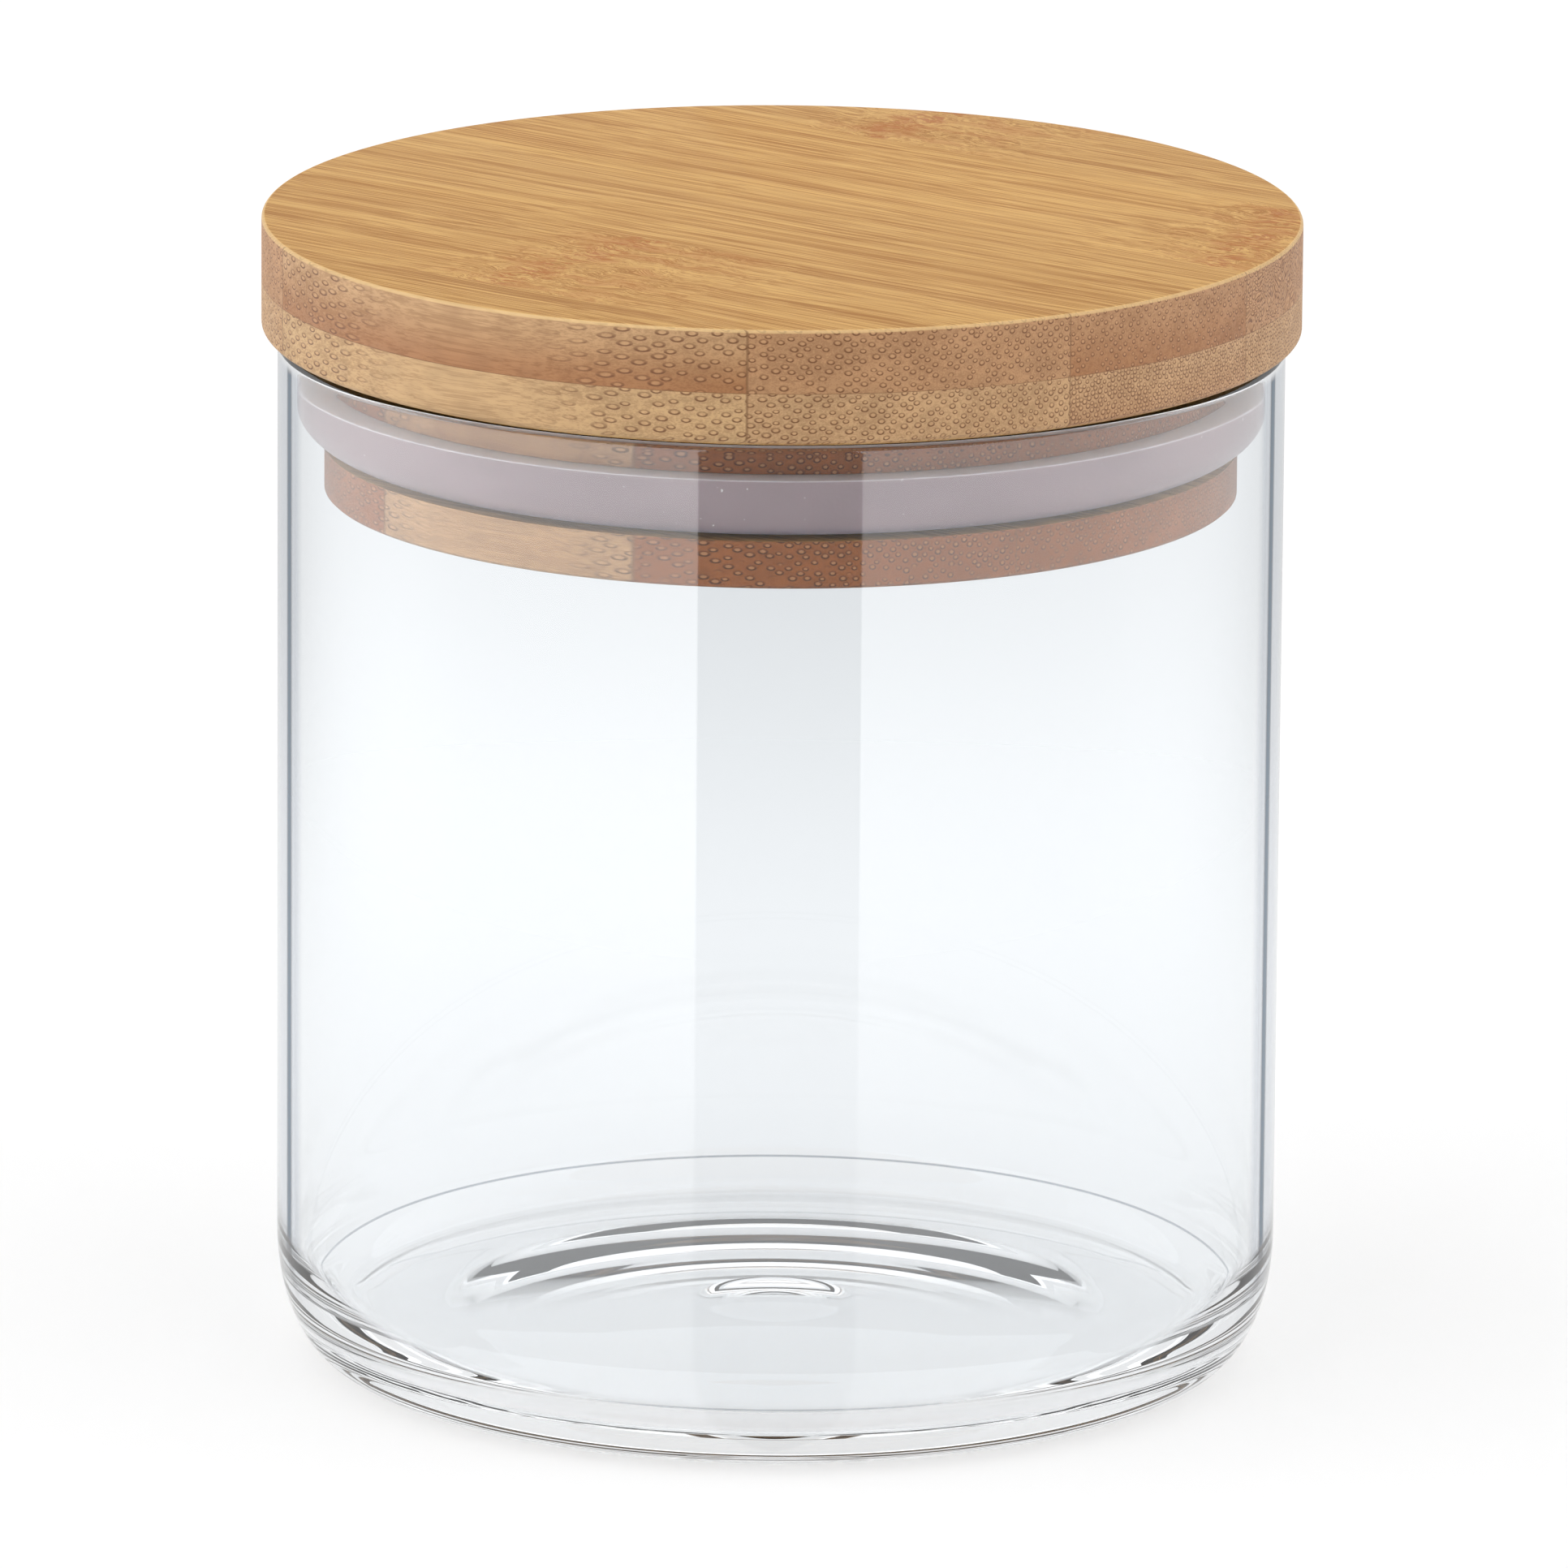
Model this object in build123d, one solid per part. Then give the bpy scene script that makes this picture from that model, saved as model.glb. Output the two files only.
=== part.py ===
"""Lidded glass canister: a straight-sided glass jar, a laminated bamboo lid and its seal.

Millimetres, +Z up. The origin is the centre of the jar's resting plane, so the jar's
axis is the Z axis and the foot ring stands on z = 0.
"""
import os
from math import cos, hypot, radians, sin, sqrt

from build123d import *

os.makedirs("parts", exist_ok=True)

# --- glass jar ---------------------------------------------------------------------
GLASS_OUTER_R = 50.0        # outside of the straight wall
GLASS_WALL = 1.8            # wall thickness
GLASS_TOP = 103.85          # top of the fire-polished rim
HEEL_WIDTH = 6.0            # outer heel: how far the curve runs in
HEEL_HEIGHT = 12.0          # outer heel: how far the curve runs up
FOOT_INNER_R = 34.0         # inner edge of the flat foot ring
KICK_UP = 2.4               # height of the pushed-up centre under the jar
FLOOR_THICKNESS = 2.6       # glass over the middle of the kick-up
FLOOR_CROWN = 1.3           # how far the floor inside rises from its edge to the middle
INNER_HEEL_WIDTH = 6.6      # inner heel curve
INNER_HEEL_HEIGHT = 9.6
PUNT_R = 6.5                # small round mark left in the centre of the base
PUNT_DEPTH = 0.35
PUNT_SLOPE = 1.5

# --- lid: turned from one laminated block, a cap disc over a plug ------------------
DISC_R = 51.6
DISC_TOP = 115.8
DISC_BOTTOM = 104.1
DISC_TOP_BREAK = 0.4        # light sanding of the top corner
DISC_LOWER_ROUND = (2.0, 1.0)   # softened lower corner, radially and in height
PLUG_R = 45.35
PLUG_BOTTOM = 88.75
PLUG_BREAK = 0.3            # light sanding of the plug's bottom corner
GROOVE_TOP = 100.2          # groove for the seal, under the land and over the flange
GROOVE_BOTTOM = 93.5
GROOVE_R = 42.0

# --- glue lines between the four layers of the block -------------------------------
GLUE_TOP = 109.45           # visible round the disc
GLUE_MIDDLE = 102.55        # on the land above the groove
GLUE_LOW = 95.65            # in the groove, behind the seal

# --- bamboo strips -----------------------------------------------------------------
GRAIN_ANGLE = -37.8         # direction of the grain in plan, degrees from +X
STRIP_WIDTH = 25.6
FIRST_JOINT = -42.7         # glue joints, measured across the grain from the axis
JOINT_COUNT = 4
BLOCK_HALF_WIDTH = 80.0     # the blank's outer strips reach past the lid before turning
BLOCK_LENGTH = 200.0
BLOCK_HEIGHT = 60.0
BLOCK_CENTRE_Z = 100.0

# --- silicone seal -----------------------------------------------------------------
SEAL_OUTER_R = 48.05        # drawn just clear of the glass that it presses on
SEAL_INNER_R = 42.2         # clear of the groove's bottom, so that the lid can turn in it
SEAL_TOP = 100.0
SEAL_SKIRT_TOP = 98.6       # below this the outside curves inwards
SEAL_BOTTOM = 93.9
SEAL_BOTTOM_R = 43.6        # where the curved skirt meets the flat underside


def turned(profile):
    """Solid of revolution about Z from a closed outline in the XZ plane."""
    return revolve(make_face(profile), Axis.Z)


def line(r0, z0, r1, z1):
    """Straight edge of a turned outline, from (r0, z0) to (r1, z1)."""
    return Line((r0, 0, z0), (r1, 0, z1))


def quarter(centre_r, centre_z, radius_r, radius_z, start):
    """Quarter of an ellipse in the XZ plane, running anticlockwise from start degrees."""
    plane = Plane(origin=(centre_r, 0, centre_z), x_dir=(1, 0, 0), z_dir=(0, -1, 0))
    return plane * EllipticalCenterArc((0, 0), radius_r, radius_z, start, arc_size=90)


def dome(r0, z0, r1, z1):
    """Arc of a sphere that is centred on the axis, from (r0, z0) to (r1, z1)."""
    centre = (r1 ** 2 - r0 ** 2 + z1 ** 2 - z0 ** 2) / (2 * (z1 - z0))
    sphere_r = hypot(r0, z0 - centre)
    mid_r = (r0 + r1) / 2
    mid_z = centre + sqrt(sphere_r ** 2 - mid_r ** 2)
    return ThreePointArc((r0, 0, z0), (mid_r, 0, mid_z), (r1, 0, z1))


def glass_jar():
    """Blown borosilicate jar: foot ring, kick-up, heel, straight wall and round rim."""
    r_out = GLASS_OUTER_R
    r_in = GLASS_OUTER_R - GLASS_WALL
    lip = GLASS_WALL / 2
    foot_r = r_out - HEEL_WIDTH
    floor_top = KICK_UP + FLOOR_THICKNESS
    floor_r = r_in - INNER_HEEL_WIDTH
    floor_edge = floor_top - FLOOR_CROWN
    punt_top = KICK_UP + PUNT_DEPTH
    outline = [
        line(0, punt_top, PUNT_R - PUNT_SLOPE, punt_top),
        line(PUNT_R - PUNT_SLOPE, punt_top, PUNT_R, KICK_UP),
        dome(PUNT_R, KICK_UP, FOOT_INNER_R, 0),
        line(FOOT_INNER_R, 0, foot_r, 0),
        quarter(foot_r, HEEL_HEIGHT, HEEL_WIDTH, HEEL_HEIGHT, 270),
        line(r_out, HEEL_HEIGHT, r_out, GLASS_TOP - lip),
        quarter(r_out - lip, GLASS_TOP - lip, lip, lip, 0),
        quarter(r_out - lip, GLASS_TOP - lip, lip, lip, 90),
        line(r_in, GLASS_TOP - lip, r_in, floor_edge + INNER_HEEL_HEIGHT),
        quarter(floor_r, floor_edge + INNER_HEEL_HEIGHT, INNER_HEEL_WIDTH, INNER_HEEL_HEIGHT, 270),
        dome(floor_r, floor_edge, 0, floor_top),
        line(0, floor_top, 0, punt_top),
    ]
    return turned(outline)


def silicone_seal():
    """Seal ring: flat top lip against the glass and a skirt that curves under."""
    skirt_r = SEAL_OUTER_R - SEAL_BOTTOM_R
    skirt_h = SEAL_SKIRT_TOP - SEAL_BOTTOM
    outline = [
        line(SEAL_INNER_R, SEAL_BOTTOM, SEAL_BOTTOM_R, SEAL_BOTTOM),
        quarter(SEAL_BOTTOM_R, SEAL_SKIRT_TOP, skirt_r, skirt_h, 270),
        line(SEAL_OUTER_R, SEAL_SKIRT_TOP, SEAL_OUTER_R, SEAL_TOP),
        line(SEAL_OUTER_R, SEAL_TOP, SEAL_INNER_R, SEAL_TOP),
        line(SEAL_INNER_R, SEAL_TOP, SEAL_INNER_R, SEAL_BOTTOM),
    ]
    return turned(outline)


def top_layer():
    """Top layer of the block: the upper half of the disc, with its sanded corner."""
    b = DISC_TOP_BREAK
    return turned([
        line(0, GLUE_TOP, DISC_R, GLUE_TOP),
        line(DISC_R, GLUE_TOP, DISC_R, DISC_TOP - b),
        quarter(DISC_R - b, DISC_TOP - b, b, b, 0),
        line(DISC_R - b, DISC_TOP, 0, DISC_TOP),
        line(0, DISC_TOP, 0, GLUE_TOP),
    ])


def second_layer():
    """Second layer: the lower half of the disc and the first of the plug's land."""
    round_r, round_z = DISC_LOWER_ROUND
    return turned([
        line(0, GLUE_MIDDLE, PLUG_R, GLUE_MIDDLE),
        line(PLUG_R, GLUE_MIDDLE, PLUG_R, DISC_BOTTOM),
        line(PLUG_R, DISC_BOTTOM, DISC_R - round_r, DISC_BOTTOM),
        quarter(DISC_R - round_r, DISC_BOTTOM + round_z, round_r, round_z, 270),
        line(DISC_R, DISC_BOTTOM + round_z, DISC_R, GLUE_TOP),
        line(DISC_R, GLUE_TOP, 0, GLUE_TOP),
        line(0, GLUE_TOP, 0, GLUE_MIDDLE),
    ])


def third_layer():
    """Third layer: the rest of the land and the upper part of the groove."""
    return turned([
        line(0, GLUE_LOW, GROOVE_R, GLUE_LOW),
        line(GROOVE_R, GLUE_LOW, GROOVE_R, GROOVE_TOP),
        line(GROOVE_R, GROOVE_TOP, PLUG_R, GROOVE_TOP),
        line(PLUG_R, GROOVE_TOP, PLUG_R, GLUE_MIDDLE),
        line(PLUG_R, GLUE_MIDDLE, 0, GLUE_MIDDLE),
        line(0, GLUE_MIDDLE, 0, GLUE_LOW),
    ])


def bottom_layer():
    """Bottom layer: the flange that hangs in the jar and the lower part of the groove."""
    b = PLUG_BREAK
    return turned([
        line(0, PLUG_BOTTOM, PLUG_R - b, PLUG_BOTTOM),
        line(PLUG_R - b, PLUG_BOTTOM, PLUG_R, PLUG_BOTTOM + b),
        line(PLUG_R, PLUG_BOTTOM + b, PLUG_R, GROOVE_BOTTOM),
        line(PLUG_R, GROOVE_BOTTOM, GROOVE_R, GROOVE_BOTTOM),
        line(GROOVE_R, GROOVE_BOTTOM, GROOVE_R, GLUE_LOW),
        line(GROOVE_R, GLUE_LOW, 0, GLUE_LOW),
        line(0, GLUE_LOW, 0, PLUG_BOTTOM),
    ])


def strips(blank):
    """Cut a turned blank along the glue joints into its bamboo strips, front to back."""
    grain = (cos(radians(GRAIN_ANGLE)), sin(radians(GRAIN_ANGLE)), 0)
    board = Plane(origin=(0, 0, BLOCK_CENTRE_Z), x_dir=grain, z_dir=(0, 0, 1))
    joints = [FIRST_JOINT + i * STRIP_WIDTH for i in range(JOINT_COUNT)]
    edges = [-BLOCK_HALF_WIDTH] + joints + [BLOCK_HALF_WIDTH]
    pieces = []
    for low, high in zip(edges, edges[1:]):
        slab = board * Pos(0, (low + high) / 2, 0) * Box(BLOCK_LENGTH, high - low, BLOCK_HEIGHT)
        pieces.append(blank & slab)
    return pieces


export_step(glass_jar(), "parts/glass_jar.step")
export_step(silicone_seal(), "parts/silicone_seal.step")

LAYERS = {
    "top_layer": top_layer,
    "second_layer": second_layer,
    "third_layer": third_layer,
    "bottom_layer": bottom_layer,
}
for layer, make_blank in LAYERS.items():
    for number, strip in enumerate(strips(make_blank()), start=1):
        export_step(strip, f"parts/{layer}_strip_{number}.step")
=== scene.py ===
"""Lidded glass canister: blown glass jar, laminated bamboo lid, silicone seal and studio stage.

Everything is in metres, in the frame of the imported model: +Z up, the jar standing on z = 0.
Bamboo patterns are worked out in millimetres along the grain, across it and upwards: g, s, z.
"""

from math import cos, hypot, pi, radians, sin, sqrt

import bmesh
import bpy
from bpy.props import FloatProperty, FloatVectorProperty, PointerProperty
from mathutils import Matrix, Vector


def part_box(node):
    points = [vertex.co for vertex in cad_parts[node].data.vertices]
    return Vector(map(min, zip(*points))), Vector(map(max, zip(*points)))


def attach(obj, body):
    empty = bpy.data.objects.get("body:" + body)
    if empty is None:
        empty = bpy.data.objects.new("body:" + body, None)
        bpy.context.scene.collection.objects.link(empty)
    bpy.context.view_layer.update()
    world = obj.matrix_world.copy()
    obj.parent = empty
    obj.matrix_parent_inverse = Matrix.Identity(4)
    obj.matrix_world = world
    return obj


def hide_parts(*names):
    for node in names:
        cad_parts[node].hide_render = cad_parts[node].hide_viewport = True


bl_info = {
    "name": "Lidded glass canister",
    "version": (1, 0, 0),
    "blender": (4, 5, 0),
    "location": "3D View > Sidebar > Canister",
    "description": "Builds a glass canister with a laminated bamboo lid and a silicone seal",
    "category": "Object",
}

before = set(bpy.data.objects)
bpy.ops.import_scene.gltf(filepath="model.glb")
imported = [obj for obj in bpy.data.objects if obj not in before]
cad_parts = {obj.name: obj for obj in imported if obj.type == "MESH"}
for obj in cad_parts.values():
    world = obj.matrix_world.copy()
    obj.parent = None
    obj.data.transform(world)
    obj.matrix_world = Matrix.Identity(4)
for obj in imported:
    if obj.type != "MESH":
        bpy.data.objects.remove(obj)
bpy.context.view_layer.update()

MM = 0.001
TURNS = 256                     # steps of a full spin
ARC_STEPS = 12                  # steps of a quarter of a rounded corner
DOME_STEPS = 16                 # steps of a shallow dome from edge to middle
SHARP_ANGLE = radians(30)       # edges sharper than this stay sharp
SAME_POINT = 1e-7               # points of a turned mesh this close are one point
SAME_CUT = 1e-8                 # and of a cut
LAYERS = ("top_layer", "second_layer", "third_layer", "bottom_layer")
STRIPS = 5                      # strips in a layer, numbered from the front to the back
NO_JOINT = 60.0                 # past the lid's edge, mm, where an outer strip has no neighbour

FLOOR_HALF = 20.0               # half the side of the floor
FLOOR_DROP = 0.1 * MM           # gap that keeps the floor clear of the jar's foot
SENSOR_WIDTH = 36.0             # of the camera, mm


# --- settings ------------------------------------------------------------------------------
def length(label, text, default):
    """A length in metres, shown in the scene's unit."""
    return FloatProperty(name=label, description=text, default=default, min=0.0, precision=5,
                         unit="LENGTH", subtype="DISTANCE")


def share(label, text, default, high):
    """A plain number from 0 to high."""
    return FloatProperty(name=label, description=text, default=default, min=0.0, max=high)


def angle(label, text, degrees):
    """An angle, given in degrees and kept in radians."""
    return FloatProperty(name=label, description=text, default=radians(degrees), subtype="ANGLE",
                         unit="ROTATION")


def colour(label, text, default):
    """A linear colour."""
    return FloatVectorProperty(name=label, description=text, default=default, size=3,
                               min=0.0, max=1.0, subtype="COLOR")


class JarSettings(bpy.types.PropertyGroup):
    """Sizes and tints of the blown glass."""
    wall: length("Wall", "Thickness of the straight wall", 1.8 * MM)
    heel_width: length("Heel width", "How far the outer heel curve runs in", 6.0 * MM)
    heel_height: length("Heel height", "How far the outer heel curve runs up", 12.0 * MM)
    foot_inner: length("Foot inner radius", "Inner edge of the flat foot ring", 34.0 * MM)
    kick_up: length("Kick-up", "Height of the pushed-up centre of the base", 2.4 * MM)
    floor_thickness: length("Floor thickness", "Glass over the middle of the kick-up", 2.6 * MM)
    floor_crown: length("Floor crown", "Rise of the floor inside from edge to middle", 1.3 * MM)
    inner_heel_width: length("Inner heel width", "How far the inner heel curve runs in", 6.6 * MM)
    inner_heel_height: length("Inner heel height", "How far the inner heel curve runs up", 9.6 * MM)
    punt_radius: length("Punt radius", "Radius of the mark in the middle of the base", 6.5 * MM)
    punt_depth: length("Punt depth", "Depth of the mark in the middle of the base", 0.35 * MM)
    punt_slope: length("Punt slope", "Width of the mark's sloping edge", 1.5 * MM)
    tint: colour("Glass tint", "Colour of light that passes one wall", (0.958, 0.976, 0.991))
    # painted shade: the band and the line darken the glass along its outline, standing in for dark
    # surroundings seen through its edge
    painted_band_shade: colour("Edge band", "Colour of the band along the outline", (0.49, 0.54, 0.61))
    painted_line_shade: colour("Edge line", "Colour of the thin line along the outline", (0.0, 0.005, 0.02))
    # painted shade: a faint dark line round the inner heel, standing in for the dark line that
    # refraction shows there
    heel_line_height: length("Mark height", "Height of the tool mark round the inner heel", 6.5 * MM)
    painted_heel_line: colour("Mark", "Colour of the tool mark", (0.25, 0.28, 0.32))


class LidSettings(bpy.types.PropertyGroup):
    """Sizes and colours of the laminated bamboo."""
    grain_angle: angle("Grain angle", "Direction of the grain seen from above", -37.8)
    top_break: length("Top break", "Sanding of the disc's top corner", 0.4 * MM)
    lower_round_in: length("Lower round in", "Softening of the disc's lower corner, inwards", 2.0 * MM)
    lower_round_up: length("Lower round up", "Softening of the disc's lower corner, upwards", 1.0 * MM)
    plug_break: length("Plug break", "Sanding of the plug's bottom corner", 0.3 * MM)
    groove: length("Groove radius", "Radius of the bottom of the seal's groove", 42.0 * MM)
    face_light: colour("Face, light", "Light fibres on the top face", (0.57, 0.325, 0.090))
    face_dark: colour("Face, dark", "Dark fibres on the top face", (0.29, 0.125, 0.024))
    ring_dark: colour("Bundle edge", "Dark edge of a fibre bundle on cut ends", (0.115, 0.038, 0.013))
    ring_light: colour("Bundle middle", "Light middle of a fibre bundle on cut ends", (0.56, 0.33, 0.16))
    # painted shade: the plug's bundle edges are darker than the disc's, for the shade under the disc and
    # inside the glass
    shaded_plug_ring: colour("Plug bundle edge", "Dark edge of a fibre bundle on the plug",
                      (0.055, 0.018, 0.008))
    # painted highlight: a light line along the sanded top corner
    corner_highlight: colour("Sanded corner", "Light line of the sanded top corner", (0.80, 0.56, 0.26))
    knot_colour: colour("Knot", "Colour of the growth joints' short fibres", (0.33, 0.110, 0.014))
    glue_colour: colour("Glue", "Colour of the glue lines", (0.16, 0.075, 0.03))


class SealSettings(bpy.types.PropertyGroup):
    """Sizes and colours of the silicone seal."""
    lift: length("Lift", "How far the top lip presses up to the land, over its CAD height", 0.15 * MM)
    skirt_top: length("Skirt top", "Depth of the straight lip below the seal's top", 1.4 * MM)
    bottom_radius: length("Bottom radius", "Radius where the skirt meets the underside", 43.6 * MM)
    corner: length("Corner", "Rounding of the moulded corners", 0.2 * MM)
    # painted shade: the silicone is a darker grey than milky silicone, standing in for the shade under
    # the disc
    silicone: colour("Silicone", "Colour of the milky silicone", (0.275, 0.215, 0.225))
    # painted light: the top lip's lighter colour stands in for light that comes through the glass rim
    # and the thin silicone
    lip: colour("Lip", "Colour of the thin top lip, where light comes through", (0.55, 0.53, 0.56))
    # painted shade: the foot of the skirt, where it curves under above the flange, is given a darker
    # colour
    foot: colour("Skirt foot", "Colour of the thin foot of the skirt", (0.17, 0.165, 0.22))


class StageSettings(bpy.types.PropertyGroup):
    """Floor, lights and camera."""
    floor_colour: colour("Floor", "Colour of the floor", (0.45, 0.45, 0.45))
    floor_glow: share("Floor glow", "Light that comes up through the floor", 0.51, 10.0)
    left_box: share("Left softbox", "Brightness of the softbox on the left", 5.2, 50.0)
    right_box: share("Right softbox", "Brightness of the softbox on the right", 4.2, 50.0)
    front_gap: share("Front gap", "Brightness between the softboxes, behind the camera", 0.25, 10.0)
    back_wall: share("Back wall", "Brightness of the room behind the jar", 0.95, 10.0)
    fill: share("Fill", "Part of the room's brightness that lights rough surfaces", 0.35, 10.0)
    top_light: share("Top light", "Irradiance of the overhead light", 1.2, 50.0)
    top_spread: angle("Top light spread", "Angle over which the overhead light is spread", 110)
    top_tilt: angle("Top light tilt", "Turn of the overhead light from straight down", -8)
    gap_edge: angle("Gap edge", "From straight in front to the near edge of each softbox", 18.2)
    gap_blur: angle("Gap blur", "Width of the soft edge of the gap", 0.7)
    box_end: angle("Softbox end", "From straight in front to where a softbox starts to fade", 85)
    wall_start: angle("Wall start", "From straight in front to where the back wall starts", 150)
    elevation: angle("Elevation", "Height angle of the camera", 14.274)
    distance: length("Distance", "From the aim point to the camera", 1.851)
    aim_height: length("Aim height", "Height of the aim point on the axis", 57.58 * MM)
    roll: angle("Roll", "Turn of the camera about its view", 0.418)
    lens: FloatProperty(name="Lens", description="Focal length", default=425.7, unit="CAMERA")
    shift: FloatProperty(name="Shift", description="Sideways shift of the picture", default=0.0036)


# --- shapes --------------------------------------------------------------------------------
def arc(centre, radii, start, end, steps=ARC_STEPS):
    """Points (radius, height) of an elliptical arc from start to end degrees."""
    angles = [radians(start + (end - start) * i / steps) for i in range(steps + 1)]
    return [(centre[0] + radii[0] * cos(a), centre[1] + radii[1] * sin(a)) for a in angles]


def dome(r0, z0, r1, z1, steps=DOME_STEPS):
    """Points of an arc of a sphere that is centred on the axis."""
    centre = (r1 ** 2 - r0 ** 2 + z1 ** 2 - z0 ** 2) / (2 * (z1 - z0))
    sphere = hypot(r0, z0 - centre)
    side = 1 if z0 > centre else -1
    reach = [r0 + (r1 - r0) * i / steps for i in range(steps + 1)]
    return [(r, centre + side * sqrt(sphere ** 2 - r ** 2)) for r in reach]


def spun(outline, closed=False):
    """Mesh of a solid of revolution from an outline of (radius, height) points."""
    bm = bmesh.new()
    points = [bm.verts.new((r, 0.0, z)) for r, z in outline]
    bmesh.ops.remove_doubles(bm, verts=points, dist=SAME_POINT)
    points = list(bm.verts)
    pairs = list(zip(points, points[1:]))
    if closed:
        pairs.append((points[-1], points[0]))
    edges = [bm.edges.new(pair) for pair in pairs]
    bmesh.ops.spin(bm, geom=points + edges, cent=(0, 0, 0), axis=(0, 0, 1), angle=2 * pi,
                   steps=TURNS, use_merge=True)
    bmesh.ops.remove_doubles(bm, verts=bm.verts, dist=SAME_POINT)
    bmesh.ops.recalc_face_normals(bm, faces=bm.faces)
    return bm


def finished(name, bm, material, node, body):
    """Turn a mesh into a shaded piece that stands for a CAD node and rides on its body."""
    mesh = bpy.data.meshes.new(name)
    bm.to_mesh(mesh)
    bm.free()
    mesh.shade_smooth()
    mesh.set_sharp_from_angle(angle=SHARP_ANGLE)
    mesh.materials.append(material)
    piece = bpy.data.objects.new(name, mesh)
    bpy.context.scene.collection.objects.link(piece)
    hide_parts(node)
    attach(piece, body)
    return piece


def widest(layer):
    """Largest distance from the axis of a layer's CAD strips."""
    nodes = [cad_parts[f"{layer}_strip_{number}"] for number in range(1, STRIPS + 1)]
    return max(hypot(v.co.x, v.co.y) for node in nodes for v in node.data.vertices)


def underside(layer, radius):
    """Lowest height of a layer's CAD strips outside a radius."""
    nodes = [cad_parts[f"{layer}_strip_{number}"] for number in range(1, STRIPS + 1)]
    return min(v.co.z for node in nodes for v in node.data.vertices
               if hypot(v.co.x, v.co.y) > radius + MM)


def across_range(node, grain_angle):
    """Smallest and largest distance across the grain, from the axis, of a CAD strip."""
    across = Vector((-sin(grain_angle), cos(grain_angle), 0.0))
    reach = [across.dot(v.co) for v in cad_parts[node].data.vertices]
    return min(reach), max(reach)


def cut_to_strip(bm, number, limits, grain_angle):
    """Cut a turned blank down to one strip, closing each cut with a face."""
    across = Vector((-sin(grain_angle), cos(grain_angle), 0.0))
    cuts = []
    if number > 1:
        cuts.append((limits[0], -across))
    if number < STRIPS:
        cuts.append((limits[1], across))
    for limit, outwards in cuts:
        everything = list(bm.verts) + list(bm.edges) + list(bm.faces)
        made = bmesh.ops.bisect_plane(bm, geom=everything, dist=SAME_CUT, plane_co=across * limit,
                                      plane_no=outwards, clear_outer=True)
        edges = [e for e in made["geom_cut"] if isinstance(e, bmesh.types.BMEdge)]
        bmesh.ops.edgenet_fill(bm, edges=edges)
    bmesh.ops.remove_doubles(bm, verts=bm.verts, dist=SAME_CUT)
    bmesh.ops.recalc_face_normals(bm, faces=bm.faces)


# --- node trees ----------------------------------------------------------------------------
class Tree:
    """Short words for building the node tree of one material or of the room."""

    def __init__(self, name=None, tree=None):
        self.material = None
        if tree is None:
            self.material = bpy.data.materials.new(name)
            self.material.use_nodes = True
            tree = self.material.node_tree
        self.tree = tree
        self.tree.nodes.clear()

    def add(self, kind, **settings):
        """A node of this kind, with its settings."""
        node = self.tree.nodes.new(kind)
        for name, value in settings.items():
            setattr(node, name, value)
        return node

    def feed(self, socket, value):
        """Link a socket to another one, or give it a value."""
        if isinstance(value, bpy.types.NodeSocket):
            self.tree.links.new(value, socket)
        else:
            socket.default_value = value

    def calc(self, operation, *values, clamp=False):
        """One step of arithmetic."""
        node = self.add("ShaderNodeMath", operation=operation, use_clamp=clamp)
        for socket, value in zip(node.inputs, values):
            self.feed(socket, value)
        return node.outputs[0]

    def vector(self, operation, *values):
        """One step of vector arithmetic."""
        node = self.add("ShaderNodeVectorMath", operation=operation)
        for socket, value in zip(node.inputs, values):
            self.feed(socket, value)
        return node.outputs["Value" if operation in ("DOT_PRODUCT", "LENGTH") else "Vector"]

    def step(self, value, low, high, start=0.0, end=1.0):
        """Smooth step from start to end as the value goes from low to high."""
        node = self.add("ShaderNodeMapRange", interpolation_type="SMOOTHSTEP")
        for socket, number in zip(node.inputs, (value, low, high, start, end)):
            self.feed(socket, number)
        return node.outputs[0]

    def split(self, place):
        """The three parts of a vector."""
        node = self.add("ShaderNodeSeparateXYZ")
        self.feed(node.inputs[0], place)
        return node.outputs

    def join(self, x, y, z):
        """A vector from its three parts."""
        node = self.add("ShaderNodeCombineXYZ")
        for socket, value in zip(node.inputs, (x, y, z)):
            self.feed(socket, value)
        return node.outputs[0]

    def noise(self, place, stretch, seed=0.0, detail=2.0, roughness=0.5):
        """Noise with stretch features a millimetre along each axis; returns factor and colour."""
        moved = self.add("ShaderNodeMapping")
        self.feed(moved.inputs["Vector"], place)
        moved.inputs["Location"].default_value = (seed * 7.31, seed * 3.17, seed * 5.03)
        moved.inputs["Scale"].default_value = stretch
        node = self.add("ShaderNodeTexNoise", noise_dimensions="3D")
        self.feed(node.inputs["Vector"], moved.outputs[0])
        node.inputs["Scale"].default_value = 1.0
        node.inputs["Detail"].default_value = detail
        node.inputs["Roughness"].default_value = roughness
        return node.outputs["Fac"], node.outputs["Color"]

    def mix(self, factor, first, second, kind="MIX"):
        """Mix two colours."""
        node = self.add("ShaderNodeMix", data_type="RGBA", blend_type=kind)
        for socket, value in ((node.inputs["Factor"], factor), (node.inputs[6], first),
                              (node.inputs[7], second)):
            if isinstance(value, tuple) and len(value) == 3:
                value = (*value, 1.0)
            self.feed(socket, value)
        return node.outputs[2]

    def shade(self, shader):
        """Send a shader to the material's output."""
        output = self.add("ShaderNodeOutputMaterial")
        self.tree.links.new(shader.outputs[0], output.inputs["Surface"])
        return self.material


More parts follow.
